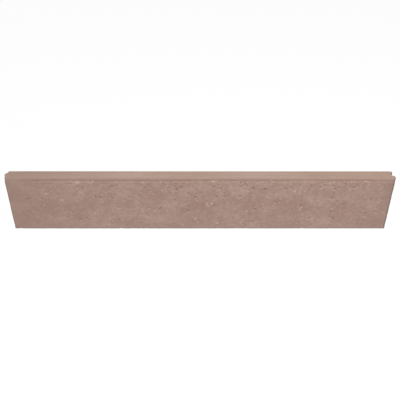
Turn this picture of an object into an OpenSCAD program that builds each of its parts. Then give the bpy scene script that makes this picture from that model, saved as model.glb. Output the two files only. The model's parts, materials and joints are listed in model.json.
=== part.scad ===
// Straight garden edging block of precast concrete, with a tongue on one end
// and a groove on the other. It stands on its long narrow side, +Z up, and the
// origin is on the base, halfway between the two shoulders. The front face
// looks towards -Y, the tongue points to -X and the groove opens to +X.
// All sizes are in millimetres.

/* [Block] */
// Laying length, from shoulder to shoulder, without the tongue
laying_length = 914; // [300:1:1220]
// Height as laid, from the base to the top face
block_height = 140; // [90:1:250]
// Thickness, from the front face to the back face
thickness = 38; // [34:1:80]

/* [Facing layer] */
// Depth of the fine facing mix, measured down from the top face
facing_depth = 6; // [5:0.5:15]

/* [Arrises] */
// Radius of the two long arrises along the top
top_arris_radius = 4; // [1:0.5:5]
// Chamfer of the four upright arrises at the ends
end_chamfer = 2; // [1:0.5:4]

/* [Tongue and groove] */
// Width of the tongue where it leaves the shoulder
tongue_width = 16; // [12:1:20]
// Reach of the tongue past the shoulder
tongue_reach = 5; // [3:0.5:6]
// Clearance all round between a tongue and the groove that takes it
joint_clearance = 1; // [0.5:0.5:1.5]

/* [Hidden] */
$fn = 96;

// The tongue is a slice of a round bar: its radius follows from its width and
// reach, and the bar's centre lies behind the shoulder by tongue_set_back.
tongue_radius = (pow(tongue_width / 2, 2) + pow(tongue_reach, 2)) / (2 * tongue_reach);
tongue_set_back = tongue_radius - tongue_reach;
groove_radius = tongue_radius + joint_clearance;

tongue_shoulder_x = -laying_length / 2;
groove_shoulder_x = laying_length / 2;
front_y = -thickness / 2;
back_y = thickness / 2;

// The facing mix is pressed onto the core at this height.
seam_z = block_height - facing_depth;

// The block seen from above, without its tongue and groove: a long rectangle
// with its four corners cut off.
module slab_plan() {
    x = laying_length / 2;
    y = thickness / 2;
    c = end_chamfer;
    polygon([
        [-x + c, -y], [x - c, -y], [x, -y + c], [x, y - c],
        [x - c, y], [-x + c, y], [-x, y - c], [-x, -y + c]
    ]);
}

// The tongue, cut off at the shoulder it grows from.
module tongue_plan() {
    intersection() {
        translate([tongue_shoulder_x + tongue_set_back, 0])
            circle(r = tongue_radius);
        translate([tongue_shoulder_x - tongue_reach, -tongue_width / 2])
            square([tongue_reach, tongue_width]);
    }
}

// The groove takes the next block's tongue when the two shoulders meet.
module groove_plan() {
    translate([groove_shoulder_x + tongue_set_back, 0])
        circle(r = groove_radius);
}

// The whole block seen from above.
module block_plan() {
    difference() {
        union() {
            slab_plan();
            tongue_plan();
        }
        groove_plan();
    }
}

// The block seen from its end, with both long top arrises rounded.
module block_section() {
    r = top_arris_radius;
    translate([front_y, 0])
        square([thickness, block_height - r]);
    translate([front_y + r, 0])
        square([thickness - 2 * r, block_height]);
    for (y = [front_y + r, back_y - r])
        translate([y, block_height - r])
            circle(r = r);
}

// The section drawn along the block, a little past both of its ends.
module section_bar() {
    spare = 10;
    translate([tongue_shoulder_x - tongue_reach - spare, 0, 0])
        rotate([90, 0, 90])
            linear_extrude(laying_length + tongue_reach + 2 * spare)
                block_section();
}

// A level slice of the block between two heights.
module block_slice(bottom_z, top_z) {
    intersection() {
        translate([0, 0, bottom_z])
            linear_extrude(top_z - bottom_z)
                block_plan();
        section_bar();
    }
}

// Coarse structural mix, from the base up to the seam.
module core_body() {
    color([0.64, 0.53, 0.49])
        block_slice(0, seam_z);
}

// Fine facing mix, pressed onto the core: the top face and its two arrises.
module facing_layer() {
    color([0.71, 0.61, 0.55])
        block_slice(seam_z, block_height);
}

core_body();
facing_layer();
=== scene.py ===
"""Looks of a precast concrete edging block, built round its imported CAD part. Metres, +Z up."""

import json
import math

import bpy
import numpy as np
from mathutils import Matrix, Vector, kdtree


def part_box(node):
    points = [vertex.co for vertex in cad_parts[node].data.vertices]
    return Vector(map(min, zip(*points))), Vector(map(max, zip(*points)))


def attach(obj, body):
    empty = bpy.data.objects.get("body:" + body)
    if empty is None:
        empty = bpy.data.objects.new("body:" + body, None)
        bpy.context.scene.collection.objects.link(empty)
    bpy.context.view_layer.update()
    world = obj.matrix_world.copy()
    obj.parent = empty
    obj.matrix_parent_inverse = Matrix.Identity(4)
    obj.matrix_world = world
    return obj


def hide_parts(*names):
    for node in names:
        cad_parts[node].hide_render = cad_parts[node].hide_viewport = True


MM = 0.001

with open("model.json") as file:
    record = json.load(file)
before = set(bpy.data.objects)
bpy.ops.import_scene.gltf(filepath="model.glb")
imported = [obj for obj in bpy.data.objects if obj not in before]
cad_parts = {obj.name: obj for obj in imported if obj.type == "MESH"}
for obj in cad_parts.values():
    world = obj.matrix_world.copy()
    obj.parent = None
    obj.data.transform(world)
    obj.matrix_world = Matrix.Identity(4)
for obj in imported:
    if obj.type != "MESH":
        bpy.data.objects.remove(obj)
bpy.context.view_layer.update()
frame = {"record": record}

# ---------------------------------------------------------------- sizes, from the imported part
CORE_LOW, CORE_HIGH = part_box("core_body")
MOUNTS = {m["name"]: m for m in frame["record"]["mounts"]}

HALF_THICKNESS = CORE_HIGH.y
SEAM_Z = CORE_HIGH.z
TOP_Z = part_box("facing_layer")[1].z
GROOVE_SHOULDER_X = CORE_HIGH.x
TONGUE_SHOULDER_X = MOUNTS["tongue_end_shoulder"]["pos_m"][0]
TONGUE_RADIUS = MOUNTS["joint_tongue"]["dims"]["r_mm"] * MM
GROOVE_RADIUS = MOUNTS["joint_groove"]["dims"]["r_mm"] * MM
TONGUE_CENTRE_X = CORE_LOW.x + TONGUE_RADIUS
GROOVE_CENTRE_X = GROOVE_SHOULDER_X + TONGUE_CENTRE_X - TONGUE_SHOULDER_X
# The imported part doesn't state these two, so they repeat the part's source.
END_CHAMFER = 2 * MM
TOP_ARRIS_RADIUS = 4 * MM

# ---------------------------------------------------------------- sizes of the worn surface
# How far the tongue end has worn back along the top.
TONGUE_END_WEAR = 1 * MM
# The radius of the worn arrises along the top of both ends.
END_ARRIS_RADIUS = 1 * MM
# The chips in the back arris: millimetres along the block and across each chip.
BACK_CHIPS = ((-387, 5.6), (-382, 4), (-373, 3.2), (430, 4))
# How far the outline of a pit or fleck strays from an oval, and how much wider the search for its
# vertices is.
STRAY = 0.9 * MM
SEARCH_MARGIN = 1.3 * MM
# A pit this deep gets the darkest painted shade on its floor.
DARKEST_DEPTH = 0.9 * MM
# Radians. No stroke of paste slants more than this.
STEEPEST = 1.2
# The skin lies at least this far inside the mould's faces.
LEAST_DEPTH = 0.04 * MM
# How much of the bond line is left where it is rubbed out.
BOND_LEFT = 0.12
# Metres. A noise cell this wide leaves the noise even along its axis.
EVEN = 9

CORE_TRIANGLES = 190000
FACING_TRIANGLES = 150000
# Edges that turn more than this are shaded sharp.
SHARP_TURN = math.radians(55)

# Where the front lies open, in millimetres along the block and up it, and how many pits sit together.
OPEN_SPOTS = (
    (-410, 85, 5), (-375, 85, 3), (-315, 50, 2), (-300, 30, 3), (-275, 120, 3), (-250, 90, 4),
    (-210, 118, 4), (-195, 25, 3), (-120, 65, 3), (-95, 60, 3), (-55, 115, 7), (-25, 90, 3),
    (-20, 55, 3), (40, 112, 5), (60, 95, 4), (90, 90, 5), (105, 120, 4), (130, 58, 2), (125, 20, 3),
    (150, 110, 3), (185, 75, 3), (195, 115, 4), (240, 65, 2), (255, 32, 2), (280, 118, 6),
    (315, 83, 4), (320, 50, 2), (330, 117, 4), (350, 70, 4), (375, 117, 5), (400, 80, 3),
)  # fmt: skip
# Curls of pale paste on the front, in millimetres along the block and up it.
PALE_SPOTS = (
    (-405, 45), (-290, 130), (-225, 100), (-140, 48), (-115, 52), (-80, 118), (15, 65), (78, 74),
    (165, 122), (232, 100), (315, 55), (358, 78), (375, 20), (395, 122), (-13, 28), (-190, 110),
)  # fmt: skip
# Broad lighter (+) and darker (-) areas of the front: millimetres along it and up it, and strength.
TONE_AREAS = (
    (-110, 25, 1.0), (-45, 25, 0.5), (-375, 25, 0.5), (95, 105, 0.7), (230, 105, 0.6),
    (165, 60, 0.5), (-345, 105, -0.7), (365, 105, -0.6), (-250, 60, -0.3), (-200, 25, -0.3),
)  # fmt: skip
TONE_AREA_SIZE = (34 * MM, 19 * MM)


# ---------------------------------------------------------------- noise
def value_noise(points, size, seed):
    """Smooth noise from -1 to 1 at each point. size is the width of its cells, one number or three."""
    far_from_zero = 1000.0
    p = points / np.asarray(size, float) + far_from_zero
    cell = np.floor(p).astype(np.int64)
    f = p - cell
    f = f * f * f * (f * (f * 6 - 15) + 10)
    total = np.zeros(len(p))
    for corner in range(8):
        step = np.array([corner & 1, corner >> 1 & 1, corner >> 2 & 1])
        c = cell + step
        # The large numbers scramble the cell's place and the seed into one value from 0 to 65535.
        h = c[:, 0] * 73856093 ^ c[:, 1] * 19349663 ^ c[:, 2] * 83492791 ^ seed * 2654435761
        h = (h ^ h >> 13) * 1274126177 & 0xFFFFFFFF
        h = (h ^ h >> 16) * 668265263 & 0xFFFFFFFF
        h = (h ^ h >> 15) & 0xFFFF
        weight = np.prod(np.where(step, f, 1 - f), axis=1)
        total += weight * (h / 32767.5 - 1)
    return total


def fractal(points, size, octaves, seed):
    """Octaves of value noise, each half as wide and half as strong, scaled to about -1 to 1."""
    size = np.asarray(size, float)
    total, strength, reach = np.zeros(len(points)), 1.0, 0.0
    for i in range(octaves):
        total += strength * value_noise(points, size / 2**i, seed + 17 * i)
        reach += strength
        strength /= 2
    return total / reach * 1.4


def ramp(x, low, high):
    """0 up to low and 1 from high on, with a smooth rise between them."""
    t = np.clip((x - low) / (high - low), 0, 1)
    return t * t * (3 - 2 * t)


# ---------------------------------------------------------------- the block's outline
def left_x(y):
    """The tongue end's outline at this y."""
    a = np.abs(y)
    x = np.full_like(y, TONGUE_SHOULDER_X)
    x += np.clip(a - (HALF_THICKNESS - END_CHAMFER), 0, None)
    round_part = TONGUE_CENTRE_X - np.sqrt(np.clip(TONGUE_RADIUS**2 - a**2, 0, None))
    return np.where(a < TONGUE_RADIUS, np.minimum(x, round_part), x)


def right_x(y):
    """The groove end's outline at this y."""
    a = np.abs(y)
    x = np.full_like(y, GROOVE_SHOULDER_X)
    x -= np.clip(a - (HALF_THICKNESS - END_CHAMFER), 0, None)
    round_part = GROOVE_CENTRE_X - np.sqrt(np.clip(GROOVE_RADIUS**2 - a**2, 0, None))
    return np.where(a < GROOVE_RADIUS, np.minimum(x, round_part), x)


def across():
    """Values of y from the front face to the back face, close together where the outline turns."""
    mouth = math.sqrt(GROOVE_RADIUS**2 - (GROOVE_CENTRE_X - GROOVE_SHOULDER_X) ** 2)
    base = math.sqrt(TONGUE_RADIUS**2 - (TONGUE_CENTRE_X - TONGUE_SHOULDER_X) ** 2)
    inner = HALF_THICKNESS - END_CHAMFER
    half = [
        *np.linspace(0, base, 8),
        mouth,
        *np.linspace(mouth, inner, 9)[1:],
        *np.linspace(inner, HALF_THICKNESS, 5)[1:],
    ]
    return np.array([-y for y in half[:0:-1]] + half)


# ---------------------------------------------------------------- a box of quads, bent to the block
FRONT, BACK, LEFT, RIGHT, TOP, BOTTOM = range(6)


def box_mesh(us, vs, ws):
    """A closed box of quads. Returns each vertex's (u, v, w), the quads, and each quad's side."""
    nu, nv, nw = len(us) - 1, len(vs) - 1, len(ws) - 1
    number = np.full((nu + 1, nv + 1, nw + 1), -1, np.int64)
    i, j, k = np.meshgrid(*(np.arange(n + 1) for n in (nu, nv, nw)), indexing="ij")
    shell = (i == 0) | (i == nu) | (j == 0) | (j == nv) | (k == 0) | (k == nw)
    number[shell] = np.arange(shell.sum())
    coords = np.stack([us[i[shell]], vs[j[shell]], ws[k[shell]]], -1)

    def side(grid, flip):
        a, b, c, d = grid[:-1, :-1], grid[1:, :-1], grid[1:, 1:], grid[:-1, 1:]
        order = (d, c, b, a) if flip else (a, b, c, d)
        return np.stack(order, -1).reshape(-1, 4)

    sides = [
        side(number[:, 0, :], False),
        side(number[:, nv, :], True),
        side(number[0, :, :], True),
        side(number[nu, :, :], False),
        side(number[:, :, nw], False),
        side(number[:, :, 0], True),
    ]
    quads = np.concatenate(sides)
    which = np.concatenate([np.full(len(s), n) for n, s in enumerate(sides)])
    return coords, quads, which


def vertex_normals(points, quads):
    """Outward normal at each vertex, each side of the box counting once at an edge."""
    p = points[quads]
    n = np.cross(p[:, 2] - p[:, 0], p[:, 3] - p[:, 1])
    n /= np.linalg.norm(n, axis=1, keepdims=True) + 1e-15
    total = np.zeros_like(points)
    for c in range(4):
        np.add.at(total, quads[:, c], n)
    return total / (np.linalg.norm(total, axis=1, keepdims=True) + 1e-15)


# ---------------------------------------------------------------- pits and flecks
class Skin:
    """What the casting left on the surface.

    depth is how far each vertex lies inside the mould's faces. pit is a mask for painted shade in the
    pits and for duller blots round craters; pale is a mask for pale paste and for painted highlights on
    the lips of craters.
    """

    def __init__(self, points):
        self.depth = np.zeros(len(points))
        self.pit = np.zeros(len(points))
        self.pale = np.zeros(len(points))
        self.tree = kdtree.KDTree(len(points))
        for i, p in enumerate(points):
            self.tree.insert(p, i)
        self.tree.balance()
        bends = [fractal(points, 4.5 * MM, 2, 40 + a) for a in range(3)]
        self.warped = points + STRAY * np.stack(bends, -1)

    def near(self, centre, radius, length, slant):
        """Vertices in a ragged blot, and how far out each lies, from 0 to 1.

        The blot is length times as long as it is wide, and its long axis slants by this angle.
        """
        found = self.tree.find_range(centre, radius * length + SEARCH_MARGIN)
        if not found:
            return np.zeros(0, int), np.zeros(0)
        index = np.array([f[1] for f in found])
        x, y, z = (self.warped[index] - np.asarray(centre)).T
        along = (x * math.cos(slant) + z * math.sin(slant)) / length
        upward = z * math.cos(slant) - x * math.sin(slant)
        rho = np.sqrt(along**2 + y**2 + upward**2) / radius
        inside = rho < 1
        return index[inside], rho[inside]

    def dig(self, centre, radius, depth, length=1.25, slant=0.0):
        """A pit, with painted shade on its floor, darker the deeper the pit."""
        index, rho = self.near(centre, radius, length, slant)
        hole = depth * (1 - rho**2)
        self.depth[index] = np.maximum(self.depth[index], hole)
        self.pit[index] = np.maximum(self.pit[index], np.clip(hole / DARKEST_DEPTH, 0, 1))

    def smear(self, centre, radius, strength, length, slant):
        """A fleck or stroke of pale colour, standing a little proud: paste, or a painted highlight."""
        index, rho = self.near(centre, radius, length, slant)
        self.pale[index] = np.maximum(self.pale[index], strength * (1 - rho**2))

    def crater(self, rng, centre, radius):
        """A pit in a dull blot, with a painted highlight along its lower lip, which stands a little
        proud.
        """
        slant = rng.uniform(-0.6, 0.6)
        self.dig(centre, radius, radius * rng.uniform(0.45, 0.8), rng.uniform(1, 1.6), slant)
        index, rho = self.near(centre, 2.2 * radius, 1.3, slant)
        self.pit[index] = np.maximum(self.pit[index], 0.5 * (1 - rho**2))
        # The pale lip below the pit is a painted highlight, where light from above would catch it.
        lip = np.asarray(centre) + (radius * rng.uniform(-0.8, 0.8), 0, -radius * rng.uniform(1.1, 1.5))
        self.smear(lip, 0.7 * radius, rng.uniform(0.5, 1), rng.uniform(1.2, 2.2), slant)


def scatter(rng, count, low, high, keep):
    """Random points in a box, kept with the chance that keep gives at each."""
    points = rng.uniform(low, high, (count, 3))
    return points[rng.uniform(0, 1, count) < keep(points)]


# ---------------------------------------------------------------- making an object
def make_object(name, points, quads, which, attributes, triangles):
    """An object with its masks and its map, thinned to this many triangles."""
    mesh = bpy.data.meshes.new(name)
    mesh.from_pydata(points.tolist(), [], quads.tolist())
    for key, values in attributes.items():
        layer = mesh.attributes.new(key, "FLOAT", "POINT")
        layer.data.foreach_set("value", values.astype(np.float32))
    add_unwrap(mesh, points, quads, which)
    obj = bpy.data.objects.new(name, mesh)
    bpy.context.scene.collection.objects.link(obj)
    thin = obj.modifiers.new("thin", "DECIMATE")
    thin.ratio = triangles / (2 * len(quads))
    graph = bpy.context.evaluated_depsgraph_get()
    thinned = bpy.data.meshes.new_from_object(obj.evaluated_get(graph))
    obj.modifiers.clear()
    obj.data = thinned
    bpy.data.meshes.remove(mesh)
    thinned.name = name
    obj.data.shade_smooth()
    obj.data.set_sharp_from_angle(angle=SHARP_TURN)
    return obj


def add_unwrap(mesh, points, quads, which):
    """Lays the six sides out on one square map: the long sides as two half-lengths each."""
    layer = mesh.uv_layers.new(name="OFBake")
    low, high = points.min(0), points.max(0)
    middle = (low[0] + high[0]) / 2
    height = high[2] - low[2]
    gap = 3 * MM
    p = points[quads]
    centre = p.mean(1)
    uv = np.zeros((len(quads), 4, 2))
    shelf = 0.0
    for side, across_axis, size in (
        (FRONT, 2, height),
        (BACK, 2, height),
        (TOP, 1, 2 * HALF_THICKNESS),
        (BOTTOM, 1, 2 * HALF_THICKNESS),
    ):
        for half in (0, 1):
            chosen = (which == side) & ((centre[:, 0] > middle) == bool(half))
            start = middle if half else low[0]
            uv[chosen, :, 0] = p[chosen, :, 0] - start
            uv[chosen, :, 1] = p[chosen, :, across_axis] - low[across_axis] + shelf
            shelf += size + gap
    for side, place in ((LEFT, 30 * MM), (RIGHT, 110 * MM)):
        chosen = which == side
        reach = (p[chosen, :, 0] - centre[chosen, 0].mean()) * np.sign(p[chosen, :, 1])
        uv[chosen, :, 0] = p[chosen, :, 1] + 0.5 * reach + place
        uv[chosen, :, 1] = p[chosen, :, 2] - low[2] + shelf
    shelf += height + gap
    uv /= max(shelf, middle - low[0] + gap)
    layer.data.foreach_set("uv", uv.reshape(-1).astype(np.float32))


# ---------------------------------------------------------------- where the skin is open, pale or dark
def tone_areas(points):
    """The front's broad tone at each point, from about -1 to 1."""
    total = np.zeros(len(points))
    for x, z, strength in TONE_AREAS:
        length, height = TONE_AREA_SIZE
        away = np.hypot((points[:, 0] - x * MM) / length, (points[:, 2] - z * MM) / height)
        total += strength * np.exp(-(away**2))
    return total * (points[:, 1] < 0)


def inner(points):
    """1 over the middle of the long faces, and 0 near their ends and foot, where the skin is closed."""
    from_left, from_right = points[:, 0] - TONGUE_SHOULDER_X, GROOVE_SHOULDER_X - points[:, 0]
    closed_at = ((from_left, 15, 50), (from_right, 10, 35), (points[:, 2], 3, 13))
    return np.prod([ramp(gap, low * MM, high * MM) for gap, low, high in closed_at], axis=0)


def pit_long_face(skin, rng, face_y, openness):
    """Pits, craters and flecks of paste over one long face of the core."""
    low = (TONGUE_SHOULDER_X + 4 * MM, face_y, 2 * MM)
    high = (GROOVE_SHOULDER_X - 4 * MM, face_y, SEAM_Z - 2 * MM)
    for c in scatter(rng, 1700, low, high, openness):
        r = rng.uniform(0.6, 1.3) * MM
        skin.dig(c, r, 0.5 * r)
    for c in scatter(rng, 230, low, high, openness):
        skin.crater(rng, c, rng.uniform(1.3, 2.2) * MM)
    for c in scatter(rng, 560, low, high, openness):
        radius, strength = rng.uniform(1, 1.7) * MM, rng.uniform(0.5, 1)
        skin.smear(c, radius, strength, rng.uniform(1, 4), rng.uniform(-STEEPEST, STEEPEST))


def pit_spot(skin, rng, x, z, count):
    """One open spot on the front: its pits, craters and a stroke or two of paste."""
    spread = (3 + 1.1 * count) * MM
    for _ in range(count):
        c = (x * MM + rng.normal(0, spread), -HALF_THICKNESS, z * MM + rng.normal(0, 0.5 * spread))
        skin.crater(rng, c, rng.uniform(1.6, 2.6) * MM)
    for _ in range(count // 2):
        c = (x * MM + rng.normal(0, spread), -HALF_THICKNESS, z * MM + rng.normal(0, 0.6 * spread))
        skin.smear(c, 1.1 * MM, 0.9, rng.uniform(2, 4), rng.uniform(-STEEPEST, STEEPEST))


def curl(skin, rng, x, z):
    """A curling stroke of paste: short strokes end to end, each turned a little from the last."""
    slant = rng.uniform(-STEEPEST, STEEPEST)
    turn = rng.choice((-1, 1)) * rng.uniform(0.3, 0.7)
    place = np.array([x * MM, -HALF_THICKNESS, z * MM])
    for _ in range(rng.integers(2, 6)):
        skin.smear(place, rng.uniform(1, 2) * MM, rng.uniform(0.5, 1), 1.5, slant)
        place = place + np.array([math.cos(slant), 0, math.sin(slant)]) * 2.6 * MM
        slant += turn


def lengthwise():
    """Shares of the length from end to end, close together near the two ends."""
    near_tongue, near_groove = np.linspace(0, 0.01, 10), np.linspace(0.99, 1, 10)
    return np.concatenate([near_tongue[:-1], np.linspace(0.01, 0.99, 780), near_groove[1:]])


def tongue_end(y, z):
    """x of the tongue end at this y and height, with the wear at its top."""
    return left_x(y) + TONGUE_END_WEAR * ramp(z, SEAM_Z - 8 * MM, SEAM_Z + 1 * MM)


def near_edge(x, y, z):
    """1 along the block's edges, where two of its faces meet, fading to 0 within a few millimetres."""
    to_end = np.minimum(x - left_x(y), right_x(y) - x)
    gaps = np.sort([to_end, HALF_THICKNESS - np.abs(y), z, TOP_Z - z], axis=0)
    return 1 - ramp(gaps[1], 0.5 * MM, 5 * MM)


def build_core():
    """The coarse mix, from the base up to the bond line."""
    coords, quads, which = box_mesh(lengthwise(), across(), np.linspace(0, 1, 112))
    y = coords[:, 1]
    z = SEAM_Z * coords[:, 2]
    start, finish = tongue_end(y, z), right_x(y)
    x = start + (finish - start) * coords[:, 0]
    base = np.stack([x, y, z], -1)
    normals = vertex_normals(base, quads)
    skin = Skin(base)
    rng = np.random.default_rng(7)

    def openness(p):
        """How open the skin is, from 0 to 1: in patches, and more towards the top."""
        patch = fractal(p, (60 * MM, 30 * MM, 26 * MM), 3, 5)
        return np.clip(0.2 + 0.9 * patch + 0.4 * ramp(p[:, 2], 0.03, 0.12), 0.03, 1)

    for face_y in (-HALF_THICKNESS, HALF_THICKNESS):
        pit_long_face(skin, rng, face_y, lambda p: openness(p) * inner(p))
    for spot in OPEN_SPOTS:
        pit_spot(skin, rng, *spot)
    for spot in PALE_SPOTS:
        curl(skin, rng, *spot)
    for side_x in (TONGUE_SHOULDER_X, GROOVE_SHOULDER_X):
        low = (side_x - 6 * MM, -HALF_THICKNESS, 2 * MM)
        high = (side_x + 2 * MM, HALF_THICKNESS, SEAM_Z - 2 * MM)
        for c in scatter(rng, 260, low, high, openness):
            skin.dig(c, rng.uniform(0.8, 2.2) * MM, rng.uniform(0.4, 1.0) * MM)
    low = (TONGUE_SHOULDER_X, -HALF_THICKNESS, 0)
    high = (GROOVE_SHOULDER_X, HALF_THICKNESS, 0)
    for c in scatter(rng, 1500, low, high, openness):
        skin.dig(c, rng.uniform(0.8, 2.8) * MM, rng.uniform(0.4, 1.4) * MM)

    below = SEAM_Z - base[:, 2]
    wall = upright(normals)
    middle = inner(base)
    open_skin = ramp(fractal(base, (34 * MM, 20 * MM, 15 * MM), 3, 21), 0.1, 0.6) * (0.3 + 0.7 * middle)
    band = np.exp(-(((below - 5.5 * MM) / (2.4 * MM)) ** 2))
    paste = ramp(fractal(base, (15 * MM, 20 * MM, 7 * MM), 3, 33) + 0.6 * band, 0.7, 1.3) * middle
    strokes = paste_strokes(base) * (0.25 + 0.75 * open_skin)
    pale = np.maximum.reduce([skin.pale, 0.6 * paste, 0.95 * strokes, 0.32 * band])
    grain = fractal(base, 2.6 * MM, 2, 51)
    faces = 1 - near_edge(*base.T)
    depth = skin.depth + (0.06 + 0.2 * faces) * MM
    depth += 0.15 * MM * fractal(base, (90 * MM, 40 * MM, 40 * MM), 2, 60) * faces
    depth += open_skin * (0.08 * MM + 0.10 * MM * grain)
    depth -= 0.2 * MM * pale * wall
    seam = np.exp(-((below / (1.5 * MM)) ** 2)) * wall * bond_shows(base)
    depth += seam * bond_sinks(base) * MM
    foot = np.exp(-((base[:, 2] / (2.4 * MM)) ** 2)) * wall
    depth += foot * (0.05 + 0.3 * fractal(base, (14 * MM, EVEN, EVEN), 3, 73)) * MM
    # corner dents the upright arrises a little; the same mask sets the painted shade along them, darkest
    # at the groove end.
    corner = upright_arris(base)
    depth += corner * (0.1 + 0.3 * fractal(base, (EVEN, EVEN, 12 * MM), 3, 75)) * MM
    points = base - normals * np.clip(depth, LEAST_DEPTH, None)[:, None]
    bond = (base[:, 2] > SEAM_Z - 1e-6) & ~wall
    points[bond] = base[bond]
    points[:, 2] += seam_wander(points) * ramp(points[:, 2], SEAM_Z - 14 * MM, SEAM_Z)
    attributes = {
        "pit": skin.pit,
        "pale": pale,
        "seam": seam,
        # painted shade along the ends' upright arrises
        "painted_end_shade": corner,
        "foot": foot,
        "middle": middle,
        "broad": tone_areas(base),
        # painted shade in the groove
        "painted_groove_shade": groove_shade_mask(base),
    }
    return make_object("core_concrete", points, quads, which, attributes, CORE_TRIANGLES)


def paste_strokes(points):
    """Thin curling lines of paste, from 0 to 1: the zero lines of one noise, broken up by another."""
    line = fractal(points, (15 * MM, 15 * MM, 9 * MM), 2, 35)
    gate = ramp(value_noise(points, (13 * MM, 13 * MM, 8 * MM), 37), 0.1, 0.5)
    broken = ramp(value_noise(points, 4 * MM, 39), -0.5, 0.3)
    return np.exp(-((line / 0.15) ** 2)) * gate * broken


def upright(normals):
    """Which vertices belong to the faces and ends, and not to the top, the base or the bond."""
    return np.abs(normals[:, 2]) < 0.9


def upright_arris(base):
    """1 along the groove end's upright arrises and 0.45 along the tongue end's, fading within 2 mm."""
    to_end = np.minimum(base[:, 0] - TONGUE_SHOULDER_X, GROOVE_SHOULDER_X - base[:, 0])
    to_face = HALF_THICKNESS - np.abs(base[:, 1])
    reach = np.clip(to_end, 0, None) + np.clip(to_face, 0, None) - END_CHAMFER
    return np.exp(-((np.clip(reach, 0, None) / (2 * MM)) ** 2)) * np.where(base[:, 0] > 0, 1, 0.45)


def groove_shade_mask(base):
    """1 on the groove's floor and flanks, where shade is painted, and 0 elsewhere."""
    away = np.hypot(base[:, 0] - GROOVE_CENTRE_X, base[:, 1])
    return (away < GROOVE_RADIUS + 0.2 * MM).astype(float)


def bond_shows(points):
    """How plainly the bond line shows along the faces: it is rubbed out near the two ends."""
    x = points[:, 0]
    past_tongue_end = ramp(x, TONGUE_SHOULDER_X + 37 * MM, TONGUE_SHOULDER_X + 70 * MM)
    past_groove_end = ramp(x, GROOVE_SHOULDER_X - 75 * MM, GROOVE_SHOULDER_X - 42 * MM)
    return BOND_LEFT + (1 - BOND_LEFT) * (past_tongue_end * (1 - past_groove_end))


def bond_sinks(points):
    """How deep the bond line lies, in millimetres."""
    return 1.1 + 0.45 * fractal(points, (12 * MM, EVEN, EVEN), 2, 71)


def seam_wander(points):
    """How far the bond between the two mixes strays from level along the faces."""
    flat = points * (1, 0.4, 0)
    return (0.7 * fractal(flat, 120 * MM, 2, 81) + 0.3 * fractal(flat, 22 * MM, 2, 83)) * MM


def round_off(inward, down, radius):
    """Moves a square corner's points onto a round one, by their distances from its two faces."""
    a = np.clip(radius - inward, 0, None)
    b = np.clip(radius - down, 0, None)
    pull = np.where((a > 0) & (b > 0), np.maximum(a, b) / (np.hypot(a, b) + 1e-12), 1.0)
    return inward + a * (1 - pull), down + b * (1 - pull)


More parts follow.
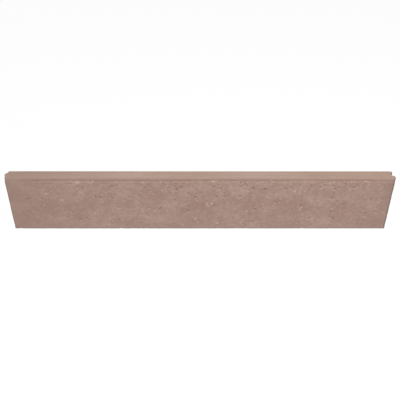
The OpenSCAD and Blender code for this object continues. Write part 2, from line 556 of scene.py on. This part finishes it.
def build_facing():
    """The fine mix, from the bond line up to the top face."""
    upwards = np.concatenate([np.linspace(0, 0.3, 4), np.linspace(0.3, 1, 11)[1:]])
    coords, quads, which = box_mesh(lengthwise(), across(), upwards)
    y, w = coords[:, 1].copy(), coords[:, 2]
    down = (TOP_Z - SEAM_Z) * (1 - w)
    start, finish = tongue_end(y, TOP_Z - down), right_x(y)
    x = start + (finish - start) * coords[:, 0]
    to_face, down = round_off(HALF_THICKNESS - np.abs(y), down, TOP_ARRIS_RADIUS)
    y = np.sign(y) * (HALF_THICKNESS - to_face)
    from_left, down = round_off(x - start, down, END_ARRIS_RADIUS)
    from_right, down = round_off(finish - x, down, END_ARRIS_RADIUS)
    x = np.where(x - start < finish - x, start + from_left, finish - from_right)
    base = np.stack([x, y, TOP_Z - down], -1)
    normals = vertex_normals(base, quads)
    skin = Skin(base)
    rng = np.random.default_rng(19)

    def openness(p):
        """How open the skin is, from 0 to 1, in patches."""
        return np.clip(0.3 + 0.8 * fractal(p, 45 * MM, 2, 91), 0.05, 1)

    low = (TONGUE_SHOULDER_X, -HALF_THICKNESS, TOP_Z)
    high = (GROOVE_SHOULDER_X, HALF_THICKNESS, TOP_Z)
    for c in scatter(rng, 600, low, high, openness):
        r = 0.6 * MM + 1.1 * MM * rng.random() ** 3
        skin.dig(c, r, 0.4 * r)
    for face_y in (-HALF_THICKNESS, HALF_THICKNESS):
        low = (TONGUE_SHOULDER_X, face_y, SEAM_Z)
        high = (GROOVE_SHOULDER_X, face_y, TOP_Z - 1 * MM)
        for c in scatter(rng, 160, low, high, openness):
            skin.dig(c, rng.uniform(0.8, 1.7) * MM, rng.uniform(0.3, 0.7) * MM)
    for place, width in BACK_CHIPS:
        skin.dig((place * MM, HALF_THICKNESS - 0.5 * MM, TOP_Z - 0.5 * MM), 0.5 * width * MM, 0.9 * MM)

    above = base[:, 2] - SEAM_Z
    faces = 1 - near_edge(*base.T)
    wall = upright(normals)
    bottom = (above < 1e-6) & ~wall
    depth = skin.depth + (0.06 + 0.14 * faces) * MM
    depth += 0.10 * MM * fractal(base, (70 * MM, 16 * MM, 16 * MM), 2, 101) * faces
    depth += 0.06 * MM * fractal(base, (14 * MM, 2.4 * MM, 3 * MM), 2, 103)
    seam = np.exp(-((above / (1.3 * MM)) ** 2)) * wall * bond_shows(base)
    depth += seam * bond_sinks(base) * MM
    # corner dents the upright arrises a little; the same mask sets the painted shade along them, darkest
    # at the groove end.
    corner = upright_arris(base)
    depth += corner * (0.2 + 0.3 * fractal(base, (EVEN, EVEN, 12 * MM), 3, 75)) * MM
    to_end = np.minimum(from_left, from_right)
    rim = np.exp(-((np.hypot(to_end, down) / (2.2 * MM)) ** 2))
    # Painted shade along both ends, stronger at the groove end.
    end_face_shade = np.exp(-((to_end / (1.7 * MM)) ** 2)) * np.where(base[:, 0] > 0, 0.85, 0.3)
    depth += rim * (0.1 + 0.3 * fractal(base, (EVEN, 12 * MM, EVEN), 2, 105)) * MM
    points = base - normals * np.clip(depth, LEAST_DEPTH, None)[:, None]
    points[bottom] = base[bottom]
    points[:, 2] += seam_wander(points) * (1 - ramp(points[:, 2], SEAM_Z, SEAM_Z + 2.4 * MM))
    outward = np.abs(base[:, 1]) - HALF_THICKNESS
    attributes = {
        "pit": skin.pit,
        "seam": seam,
        # painted shade along the ends and their upright arrises
        "painted_end_shade": np.maximum(corner, end_face_shade),
        # painted shade in the groove
        "painted_groove_shade": groove_shade_mask(base),
        # painted shade over the rounded long arrises and the facing's sides
        "arris": ramp(outward, -1.2 * TOP_ARRIS_RADIUS, -0.1 * TOP_ARRIS_RADIUS),
    }
    return make_object("facing_concrete", points, quads, which, attributes, FACING_TRIANGLES)


# ---------------------------------------------------------------- materials
class Nodes:
    """Short calls for a node tree."""

    def __init__(self, name):
        self.material = bpy.data.materials.new(name)
        self.material.use_nodes = True
        self.tree = self.material.node_tree
        self.shader = self.tree.nodes["Principled BSDF"]
        self.place = self.tree.nodes.new("ShaderNodeTexCoord").outputs["Object"]

    def link(self, value, socket):
        if isinstance(value, bpy.types.NodeSocket):
            self.tree.links.new(value, socket)
        else:
            socket.default_value = value

    def attribute(self, name):
        node = self.tree.nodes.new("ShaderNodeAttribute")
        node.attribute_name = name
        return node.outputs["Fac"]

    def noise(self, scale, detail, rough, stretch=(1, 1, 1), move=0.0):
        mapping = self.tree.nodes.new("ShaderNodeMapping")
        mapping.inputs["Scale"].default_value = stretch
        mapping.inputs["Location"].default_value = (move, move, move)
        self.tree.links.new(self.place, mapping.inputs["Vector"])
        node = self.tree.nodes.new("ShaderNodeTexNoise")
        node.inputs["Scale"].default_value = scale
        node.inputs["Detail"].default_value = detail
        node.inputs["Roughness"].default_value = rough
        self.tree.links.new(mapping.outputs["Vector"], node.inputs["Vector"])
        return node.outputs["Fac"]

    def remap(self, value, low, high, to_low=0.0, to_high=1.0):
        node = self.tree.nodes.new("ShaderNodeMapRange")
        node.interpolation_type = "SMOOTHSTEP"
        self.link(value, node.inputs["Value"])
        ends = {"From Min": low, "From Max": high, "To Min": to_low, "To Max": to_high}
        for key, number in ends.items():
            node.inputs[key].default_value = number
        return node.outputs["Result"]

    def math(self, operation, a, b):
        node = self.tree.nodes.new("ShaderNodeMath")
        node.operation = operation
        self.link(a, node.inputs[0])
        self.link(b, node.inputs[1])
        return node.outputs[0]

    def mix(self, factor, a, b):
        node = self.tree.nodes.new("ShaderNodeMix")
        node.data_type = "RGBA"
        self.link(factor, node.inputs[0])
        self.link(a, node.inputs[6])
        self.link(b, node.inputs[7])
        return node.outputs[2]

    def bump(self, height, distance, strength, before=None):
        node = self.tree.nodes.new("ShaderNodeBump")
        node.inputs["Strength"].default_value = strength
        node.inputs["Distance"].default_value = distance
        self.tree.links.new(height, node.inputs["Height"])
        if before is not None:
            self.tree.links.new(before, node.inputs["Normal"])
        return node.outputs["Normal"]

    def axis(self, letter):
        node = self.tree.nodes.new("ShaderNodeSeparateXYZ")
        self.tree.links.new(self.place, node.inputs[0])
        return node.outputs[letter]


def colour(red, green, blue):
    """sRGB 0 to 255 to the linear colour a node takes."""
    return (*(((c / 255 + 0.055) / 1.055) ** 2.4 for c in (red, green, blue)), 1.0)


def core_material():
    """Red-brown, cloudy and gritty, with a dark seam, pale paste and dust along the foot, painted shade
    in the pits, in the groove, along the ends' arrises and towards both ends, and painted highlights on
    the lips of craters.
    """
    n = Nodes("core_mix")
    clouds = n.noise(14, 4, 0.55, (0.8, 1, 1.5))
    tone = n.mix(n.remap(clouds, 0.32, 0.68), colour(158, 130, 118), colour(170, 143, 131))
    patches = n.noise(48, 3, 0.55, (0.8, 1, 1.2), 3.1)
    tone = n.mix(n.remap(patches, 0.36, 0.62, 0.45, 0), tone, colour(153, 125, 114))
    tone = n.mix(n.remap(n.attribute("broad"), 0, 1, 0, 0.32), tone, colour(190, 163, 152))
    tone = n.mix(n.remap(n.attribute("broad"), -1, 0, 0.3, 0), tone, colour(140, 113, 102))
    mottle = n.noise(190, 2, 0.5, (0.8, 1, 1), 6.2)
    mottled = n.remap(n.attribute("middle"), 0, 1, 0.45, 1)
    light = n.math("MULTIPLY", n.remap(mottle, 0.52, 0.7, 0, 0.32), mottled)
    dark = n.math("MULTIPLY", n.remap(mottle, 0.3, 0.48, 0.37, 0), mottled)
    tone = n.mix(light, tone, colour(186, 158, 147))
    tone = n.mix(dark, tone, colour(144, 117, 106))
    grains = n.noise(520, 2, 0.6, (1, 1, 1), 7.7)
    tone = n.mix(n.remap(grains, 0.55, 0.75, 0, 0.12), tone, colour(196, 172, 160))
    grit = n.noise(300, 3, 0.7, (1, 1, 1), 1.9)
    tone = n.mix(n.remap(grit, 0.3, 0.46, 0.16, 0), tone, colour(128, 100, 90))
    # Pale paste, and painted highlights on the lower lips of craters.
    tone = n.mix(n.remap(n.attribute("pale"), 0.1, 0.9, 0, 0.8), tone, colour(202, 176, 164))
    # Painted shade in the pits, darker the deeper they are, and duller blots round the craters.
    tone = n.mix(n.remap(n.attribute("pit"), 0.05, 0.95, 0, 0.33), tone, colour(110, 84, 75))
    tone = n.mix(n.remap(n.attribute("seam"), 0.1, 0.9, 0, 0.45), tone, colour(118, 91, 82))
    # Painted shade on the upper part of the core towards the groove end.
    groove_end_shade = n.math("MULTIPLY", n.remap(n.axis("X"), 0.42, 0.455), n.remap(n.axis("Z"), 0.04, 0.09))
    tone = n.mix(n.math("MULTIPLY", groove_end_shade, 0.3), tone, colour(140, 114, 103))
    tone = n.mix(n.remap(n.axis("Z"), 0, 0.009, 0.5, 0), tone, colour(160, 144, 134))
    tone = n.mix(n.remap(n.attribute("foot"), 0.1, 0.8, 0, 0.85), tone, colour(134, 123, 116))
    # Painted shade along the ends' upright arrises.
    tone = n.mix(n.remap(n.attribute("painted_end_shade"), 0.1, 0.9, 0, 0.85), tone, colour(112, 96, 90))
    # Painted shade in the groove.
    tone = n.mix(n.remap(n.attribute("painted_groove_shade"), 0.2, 0.8, 0, 0.4), tone, colour(118, 98, 88))
    # Painted shade towards the tongue end.
    tone = n.mix(n.remap(n.axis("X"), -0.46, -0.3, 0.32, 0), tone, colour(148, 122, 110))
    n.link(tone, n.shader.inputs["Base Color"])
    n.link(n.remap(grit, 0.3, 0.7, 0.95, 0.82), n.shader.inputs["Roughness"])
    n.shader.inputs["Specular IOR Level"].default_value = 0.25
    fine = n.bump(n.noise(900, 3, 0.7), 0.25 * MM, 0.7)
    n.link(n.bump(grit, 0.5 * MM, 0.6, fine), n.shader.inputs["Normal"])
    return n.material


def facing_material():
    """Lighter and finer than the core's, streaked along the block, with painted shade along the long
    arrises and sides, at the ends, in the groove, in the pits and towards the tongue end.
    """
    n = Nodes("facing_mix")
    clouds = n.noise(9, 3, 0.5, (0.6, 1, 1))
    tone = n.mix(n.remap(clouds, 0.34, 0.68), colour(169, 142, 126), colour(179, 153, 140))
    streaks = n.noise(60, 3, 0.6, (0.06, 1, 1), 2.3)
    tone = n.mix(n.remap(streaks, 0.45, 0.7, 0, 0.4), tone, colour(188, 162, 147))
    # Painted shade over the rounded long arrises and the facing's sides.
    tone = n.mix(n.remap(n.attribute("arris"), 0.0, 0.9, 0, 0.9), tone, colour(164, 137, 126))
    grains = n.noise(700, 2, 0.6, (1, 1, 1), 5.3)
    tone = n.mix(n.remap(grains, 0.5, 0.72, 0, 0.22), tone, colour(198, 174, 161))
    grit = n.noise(380, 3, 0.7, (1, 1, 1), 4.1)
    tone = n.mix(n.remap(grit, 0.3, 0.45, 0.25, 0), tone, colour(146, 118, 106))
    # Painted shade in the pits and chips, darker the deeper they are.
    tone = n.mix(n.remap(n.attribute("pit"), 0.05, 0.8, 0, 0.4), tone, colour(124, 97, 87))
    tone = n.mix(n.remap(n.attribute("seam"), 0.1, 0.9, 0, 0.25), tone, colour(118, 91, 82))
    # Painted shade along the ends and their upright arrises.
    tone = n.mix(n.remap(n.attribute("painted_end_shade"), 0.1, 0.9, 0, 0.85), tone, colour(116, 100, 93))
    # Painted shade in the groove.
    tone = n.mix(n.remap(n.attribute("painted_groove_shade"), 0.2, 0.8, 0, 0.8), tone, colour(104, 86, 77))
    # Painted shade towards the tongue end.
    tone = n.mix(n.remap(n.axis("X"), -0.46, -0.1, 0.5, 0), tone, colour(157, 133, 119))
    n.link(tone, n.shader.inputs["Base Color"])
    n.link(n.remap(grit, 0.3, 0.7, 0.9, 0.76), n.shader.inputs["Roughness"])
    n.shader.inputs["Specular IOR Level"].default_value = 0.3
    fine = n.bump(n.noise(1000, 3, 0.7), 0.2 * MM, 0.6)
    n.link(n.bump(streaks, 0.3 * MM, 0.5, fine), n.shader.inputs["Normal"])
    return n.material


# ---------------------------------------------------------------- the pieces
core = build_core()
core.data.materials.append(core_material())
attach(core, "root")
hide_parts("core_body")

facing = build_facing()
facing.data.materials.append(facing_material())
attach(facing, "root")
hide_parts("facing_layer")


# ---------------------------------------------------------------- floor, light and camera
def floor():
    """A wide white floor that glows a little, so that it burns out and takes only a faint shadow."""
    half = 14.0
    corners = [(-half, -half, 0), (half, -half, 0), (half, half, 0), (-half, half, 0)]
    mesh = bpy.data.meshes.new("floor")
    mesh.from_pydata(corners, [], [(0, 1, 2, 3)])
    obj = bpy.data.objects.new("floor", mesh)
    bpy.context.scene.collection.objects.link(obj)
    material = bpy.data.materials.new("pale_floor")
    material.use_nodes = True
    shader = material.node_tree.nodes["Principled BSDF"]
    shader.inputs["Base Color"].default_value = (0.06, 0.06, 0.06, 1)
    shader.inputs["Roughness"].default_value = 1.0
    shader.inputs["Specular IOR Level"].default_value = 0.0
    shader.inputs["Emission Color"].default_value = (1, 1, 1, 1)
    shader.inputs["Emission Strength"].default_value = 0.95
    mesh.materials.append(material)


def axes_matrix(x, y, z, place):
    """An object's matrix from its three axes and its place."""
    return Matrix([[x[i], y[i], z[i], place[i]] for i in range(3)] + [[0, 0, 0, 1]])


def softbox(name, place, target, size, power):
    """A rectangular light of this size and power, turned towards its target."""
    light = bpy.data.lights.new(name, "AREA")
    light.shape = "RECTANGLE"
    light.size, light.size_y = size
    light.energy = power
    obj = bpy.data.objects.new(name, light)
    away = np.array(place, float) - np.array(target, float)
    z = away / np.linalg.norm(away)
    x = np.cross((0, 0, 1), z)
    x /= np.linalg.norm(x)
    y = np.cross(z, x)
    obj.matrix_world = axes_matrix(x, y, z, place)
    bpy.context.scene.collection.objects.link(obj)


def camera():
    """A camera in front of the block and above it, slightly rolled."""
    data = bpy.data.cameras.new("camera")
    data.sensor_width = 36.0
    data.lens = 43.605
    data.shift_y = 0.0375
    yaw, pitch, roll = (math.radians(a) for a in (0.308, 31.284, 0.161))
    flat = math.cos(pitch)
    forward = np.array([math.sin(yaw) * flat, math.cos(yaw) * flat, -math.sin(pitch)])
    level = np.array([math.cos(yaw), -math.sin(yaw), 0])
    steep = np.cross(level, forward)
    right = math.cos(roll) * level + math.sin(roll) * steep
    up = math.cos(roll) * steep - math.sin(roll) * level
    place = (-0.0059, -1.0265, 0.65126)
    obj = bpy.data.objects.new("camera", data)
    obj.matrix_world = axes_matrix(right, up, -forward, place)
    bpy.context.scene.collection.objects.link(obj)
    bpy.context.scene.camera = obj


floor()
softbox("key", (0.45, -1.3, 2.4), (0, 0, 0.07), (1.2, 0.8), 49)
softbox("top", (0.2, 0.1, 2.4), (0, 0, 0.07), (2.4, 1.6), 5.5)
camera()

world = bpy.data.worlds.new("studio")
world.use_nodes = True
world.node_tree.nodes["Background"].inputs["Color"].default_value = (1, 1, 1, 1)
world.node_tree.nodes["Background"].inputs["Strength"].default_value = 0.4
bpy.context.scene.world = world
bpy.context.scene.view_settings.view_transform = "Standard"
